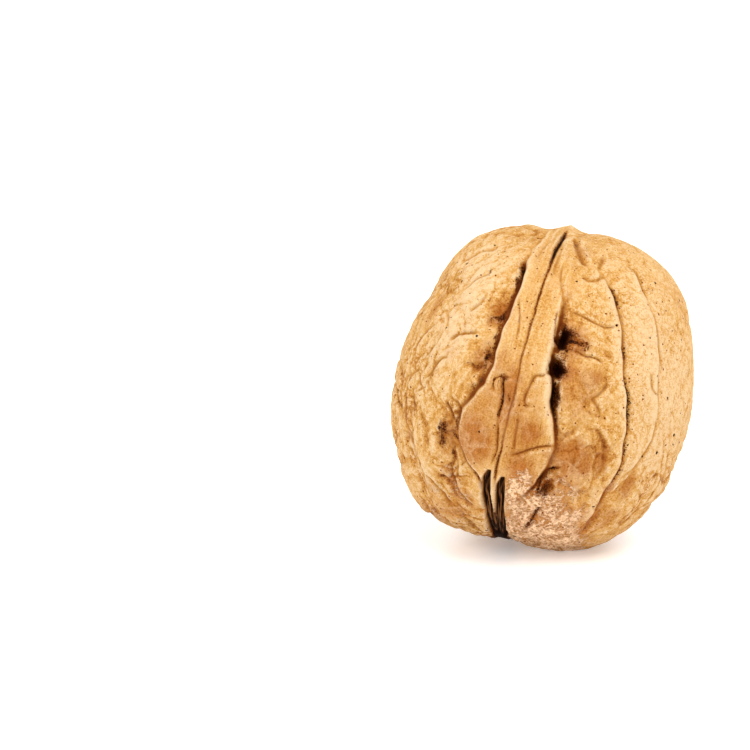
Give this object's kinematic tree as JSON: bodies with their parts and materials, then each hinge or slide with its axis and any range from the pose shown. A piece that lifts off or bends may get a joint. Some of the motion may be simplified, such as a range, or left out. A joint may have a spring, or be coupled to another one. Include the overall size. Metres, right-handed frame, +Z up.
{
  "type": "walnut in its shell",
  "caption": "Whole walnut in its closed shell, with a raised seam, a small pointed tip, long furrows and wrinkled valves, standing on a small flat spot.",
  "frame": {"origin": "on the surface it stands on, under the middle of its outline", "axes": "+Z up, -Y the front with the seam, +X to the right; the tip leans a little back and to the right"},
  "size_m": [0.037, 0.0382, 0.039],
  "materials": {
    "walnut_shell": "dry, wrinkled, matte shell"
  },
  "bodies": {
    "root": {"walnut_shell": "walnut_shell"}
  },
  "joints": []
}
